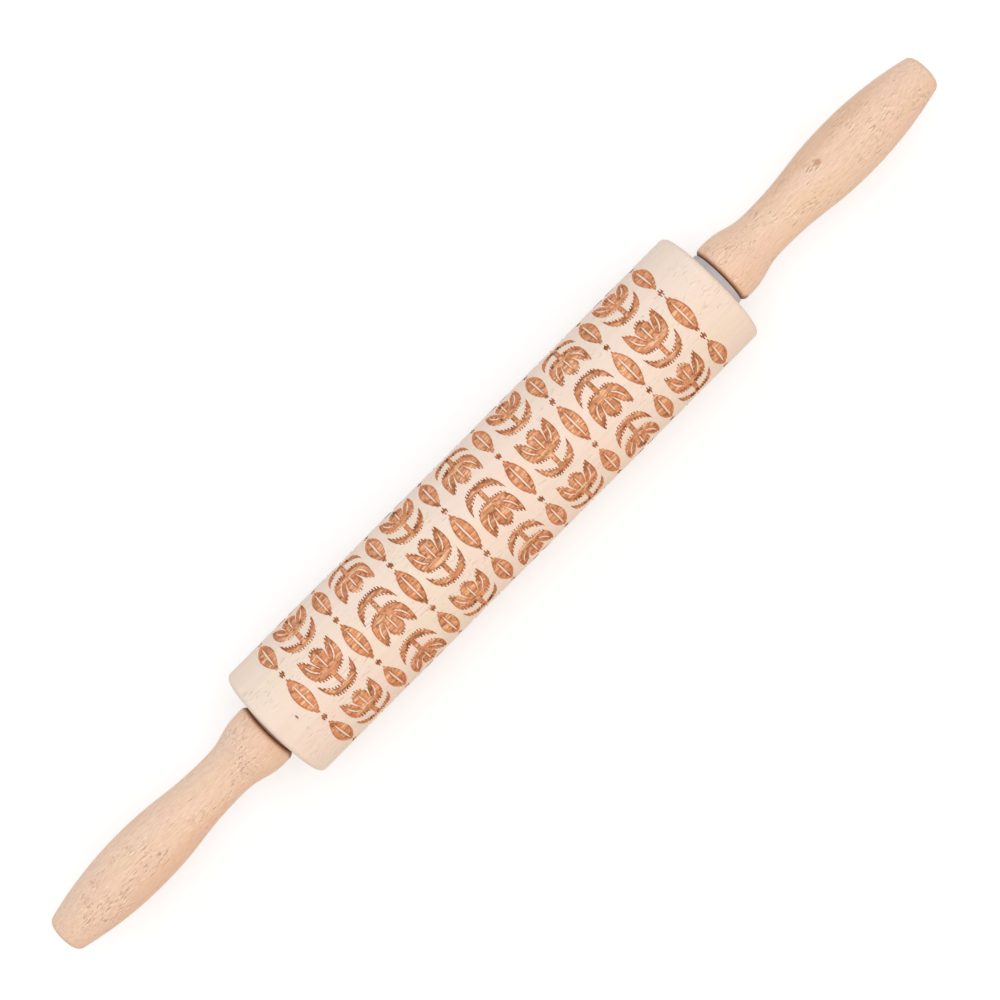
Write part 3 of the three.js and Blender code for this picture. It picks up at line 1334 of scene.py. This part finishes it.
@dataclass(frozen=True)
class Bush(Piece):
    """A nylon bush: a plain turned sleeve with chamfered edges."""

    side: Side
    chamfer: float = 0.6
    bore_clearance: float = 0.4
    steps: int = 72

    def patches(self) -> list[Patch]:
        """The sleeve's outside and its bore.

        Returns:
            The faces.
        """
        half, outer = self.sizes.bush_length / 2, self.sizes.bush_radius
        middle = self.side.value * (self.sizes.collar_place - self.sizes.seat_clearance - half)
        bore = self.sizes.axle_radius + self.bore_clearance
        bevel = arc((half - self.chamfer, outer - self.chamfer), self.chamfer, math.pi / 2, 0, 5)
        sleeve = [(-half, bore), *mirrored(bevel), *bevel, (half, bore)]
        runs = [moved(run, middle) for run in (sleeve, [(half, bore), (-half, bore)])]
        return Turning(runs, self.steps).patches()


@dataclass(frozen=True)
class Axle(Piece):
    """The steel rod through the pin, with a band of ridges near each end that grips in the handle."""

    chamfer: float = 0.8
    ridge_height: float = 0.2
    ridge_length: float = 16.0
    ridge_inset: float = 4.0
    ridges: int = 48

    def patches(self) -> list[Patch]:
        """The rod, with every second line of its two gripping bands lifted.

        Returns:
            The faces.
        """
        half, radius = self.sizes.collar_place + self.sizes.axle_depth, self.sizes.axle_radius
        outer = half - self.ridge_inset
        inner = outer - self.ridge_length
        end = [(inner, radius), (outer, radius), (half - self.chamfer, radius)]
        end += [(half, radius - self.chamfer), (half, 0.0)]
        stations = [*mirrored(end), *end]
        patches = Turning([*zip(stations, stations[1:])], 2 * self.ridges).patches()
        for places in (patch.places for patch in patches):
            number = np.round(np.arctan2(places[:, 1], places[:, 2]) * self.ridges / math.pi)
            on_band = np.abs(np.abs(places[:, 0]) - (inner + outer) / 2) < self.ridge_length / 2 + WELD
            places[on_band & (number % 2 == 0), 1:] *= 1 + self.ridge_height / radius
        return patches


@dataclass(frozen=True)
class Lamp:
    """A square soft lamp, turned to the pin; its place and side are in metres, its power in watts."""

    name: str
    place: Place
    side: float
    power: float
    colour: tuple[float, float, float]

    def hang(self) -> None:
        """Hangs the lamp in the scene."""
        data = bpy.data.lights.new(self.name, "AREA")
        data.shape = "SQUARE"
        data.size = self.side
        data.energy = self.power
        data.color = self.colour
        lamp = put(self.name, data)
        lamp.location = self.place
        lamp.rotation_mode = "QUATERNION"
        lamp.rotation_quaternion = (-Vector(self.place)).to_track_quat("-Z", "Y")


@dataclass(frozen=True)
class Studio:
    """A plain pale floor, soft light from above and a camera straight over the pin, all in metres."""

    lamps: tuple[Lamp, ...] = (
        Lamp("over_lamp", (0.1, 0.1, 1.5), 1.3, 8.7, (1.0, 1.0, 1.0)),
        Lamp("warm_lamp", (0.1, -1.1, 0.55), 0.7, 2.9, (1.0, 0.74, 0.5)),
        Lamp("cool_lamp", (-0.1, 1.1, 0.55), 0.7, 2.3, (0.8, 0.88, 1.0)),
    )
    pin_turn: float = 45.2
    axis_height: float = 0.024
    camera_height: float = 0.85
    half_view: float = 0.1777
    aim: Point = (0.00228, -0.0006)
    sensor: float = 36.0
    sky: float = 0.56
    floor_half: float = 3.0
    floor_shade: float = 0.62
    floor_glow: float = 0.48
    floor_fade: Point = (0.45, 1.3)

    def floor(self) -> None:
        """Lays the floor, which fades to plain white far from the pin."""
        mesh = bpy.data.meshes.new("floor")
        low, high = -self.floor_half, self.floor_half
        corners = [(low, low, 0), (high, low, 0), (high, high, 0), (low, high, 0)]
        mesh.from_pydata(corners, [], [(0, 1, 2, 3)])
        plane = put("floor", mesh)
        material = bpy.data.materials.new("pale_floor")
        recipe = Recipe(material)
        far = recipe.node("ShaderNodeTexCoord", output="Object").length().eased(*self.floor_fade)
        paper = recipe.node("ShaderNodeBsdfDiffuse", {}, {"Color": self.floor_shade * (1.0 - far)})
        light = (self.floor_glow + (1.0 - self.floor_glow) * far) * self.seen(recipe)
        glow = recipe.node("ShaderNodeEmission", {}, {"Strength": light})
        both = recipe.node("ShaderNodeAddShader", {}, {0: paper, 1: glow})
        recipe.node("ShaderNodeOutputMaterial", {}, {"Surface": both})
        mesh.materials.append(material)

    @staticmethod
    def seen(recipe: Recipe) -> Signal:
        """1 where the camera looks straight at something, in a mirror or through glass, else 0."""
        names = ("Is Camera Ray", "Is Glossy Ray", "Is Transmission Ray")
        camera, mirror, glass = (recipe.node("ShaderNodeLightPath", output=name) for name in names)
        return recipe.maths("MINIMUM", camera + mirror + glass, 1.0)

    def world(self) -> None:
        """Sets the soft light that comes from all round, and the white that the camera sees."""
        world = bpy.data.worlds.new("soft_room")
        bpy.context.scene.world = world
        recipe = Recipe(world)
        strength = self.sky + (1.0 - self.sky) * self.seen(recipe)
        inputs = {"Color": (1.0, 1.0, 1.0, 1.0), "Strength": strength}
        light = recipe.node("ShaderNodeBackground", {}, inputs)
        recipe.node("ShaderNodeOutputWorld", {}, {"Surface": light})

    def camera(self) -> None:
        """Puts the camera straight above, turned so that the pin lies across the picture."""
        data = bpy.data.cameras.new("camera")
        data.sensor_width = self.sensor
        data.lens = self.sensor / 2 * self.camera_height / self.half_view
        data.clip_end = 20.0
        camera = put("camera", data)
        camera.location = (*self.aim, self.axis_height + self.camera_height)
        camera.rotation_euler = (0.0, 0.0, -math.radians(self.pin_turn))
        bpy.context.scene.camera = camera

    def build(self) -> None:
        """Sets the whole stage."""
        self.floor()
        self.world()
        for lamp in self.lamps:
            lamp.hang()
        self.camera()
        bpy.context.scene.view_settings.view_transform = "Standard"


ROLLER_BEECH = Beech(
    name="roller_beech",
    pale=(248, 226, 209),
    late=(238, 211, 190),
    blush=(249, 220, 203),
    straw=(243, 223, 197),
    fleck=(176, 146, 124),
    pale_streak_and_highlight=(255, 238, 221),
    end_grain=(232, 204, 178),
    pith=(-14.0, -38.0),
    seed=11.0,
    fleck_level=0.745,
    fleck_strength=0.26,
    highlight_strength=0.4,
    patch_strength=0.6,
    streak_strength=0.2,
    roughness=0.55,
    marks=(Mark((-100.4, -3.6, 47.7), (0.5, 1.15, 2.0), (96, 68, 50), 0.9),),
)
RIGHT_MARKS = (
    Mark((168.0, 9.5, 31.5), (56.0, 5.5, 9.0), (224, 178, 144), 0.5),
    Mark((164.8, 3.9, 35.3), (2.1, 1.7, 2.6), (198, 142, 106), 0.8),
    # painted shade of the gap at the collar's two sides beside the roller
    Mark((114.3, -11.7, 25.5), (2.0, 2.8, 5.0), (144, 80, 62), 0.75),
    Mark((113.6, 11.6, 24.0), (1.2, 1.8, 7.0), (96, 78, 64), 0.6),
)
LEFT_MARKS = (
    Mark((-163.0, -9.5, 31.0), (52.0, 5.0, 9.0), (236, 182, 154), 0.35),
    # painted shade of the gap at the collar's two sides beside the roller
    Mark((-114.1, -11.8, 25.5), (1.7, 2.6, 5.0), (124, 88, 60), 0.75),
    Mark((-113.8, 11.6, 24.0), (1.4, 2.0, 7.0), (112, 92, 70), 0.6),
)
HANDLE_BEECH = {
    side: Beech(
        name=f"{side.word}_handle_beech",
        pale=(243, 208, 182),
        late=(232, 190, 162),
        blush=(242, 199, 176),
        straw=(238, 204, 168),
        fleck=(150, 102, 72),
        pale_streak_and_highlight=(255, 228, 202),
        end_grain=(222, 182, 152),
        pith=pith,
        seed=seed,
        fleck_level=0.717,
        fleck_strength=0.43,
        highlight_strength=0.65,
        patch_strength=0.5,
        streak_strength=0.85,
        roughness=0.5,
        marks=marks,
        # end grain and painted shade of the gap at the collar's inner edge
        shoulder=Shoulder(PinSizes().collar_place, 1.4, (160, 102, 62), 0.9),
    )
    for side, pith, seed, marks in (
        (Side.LEFT, (26.0, -40.0), -63.0, LEFT_MARKS),
        (Side.RIGHT, (-30.0, -34.0), 140.0, RIGHT_MARKS),
    )
}
SCORCHED = ScorchedBeech(
    name="scorched_beech",
    brown=(231, 164, 120),
    light=(254, 210, 168),
    dark=(195, 131, 89),
    edge=(155, 102, 63),
    roughness=0.75,
)
CHAR = Char(
    name="charred_walls",
    # paler than the floor's brown: painted light against the shade of the narrow recess
    brown=(244, 184, 140),
    black=(142, 92, 58),
    roughness=0.8,
)
NYLON = {
    side: Nylon(
        name=f"{side.word}_bush_nylon",
        # greyer than clean white nylon: painted shade of the gap between roller and handle
        white=(197, 196, 201),
        grey=(178, 178, 181),
        dust_and_shade=(152, 108, 78),
        dust_and_shade_place=108.0,
        dust_and_shade_strength=dust_and_shade_strength,
        roughness=0.42,
    )
    # strong on the left bush, where it is mostly painted shade of the narrow gap; faint sawdust on the
    # right
    for side, dust_and_shade_strength in ((Side.LEFT, 0.85), (Side.RIGHT, 0.08))
}
STEEL = Steel(
    name="axle_steel",
    bright=(206, 207, 208),
    dull=(168, 166, 163),
    roughness=0.3,
)


def settle(piece: bpy.types.Object, body: str, node: str) -> None:
    """Lets a finished piece stand for its CAD node.

    Args:
        piece: The piece.
        body: The body that it rides on.
        node: The CAD node that it stands for.
    """
    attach(piece, body)
    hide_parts(node)
    low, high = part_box(node)
    LOG.info("%s rides on %s for %s, %d faces, %.1f mm long", piece.name, body, node,
             len(piece.data.polygons), (high[0] - low[0]) / METRE)


def main() -> None:
    """Builds the studio and the pin's pieces in order."""
    logging.basicConfig(level=logging.INFO, format="%(message)s")
    sizes = PinSizes()
    Studio().build()
    roller = EngravedRoller(sizes).build("engraved_roller", [ROLLER_BEECH, SCORCHED, CHAR])
    settle(roller, "roller", "roller")
    for side in Side:
        handle = TurnedHandle(sizes, side).build(f"{side.word}_turned_handle", [HANDLE_BEECH[side]])
        settle(handle, "grip", f"{side.word}_handle")
        bush = Bush(sizes, side).build(f"{side.word}_nylon_bush", [NYLON[side]])
        settle(bush, "bushes", f"{side.word}_bush")
    settle(Axle(sizes).build("steel_axle", [STEEL]), "grip", "axle")


if __name__ == "__main__":
    main()
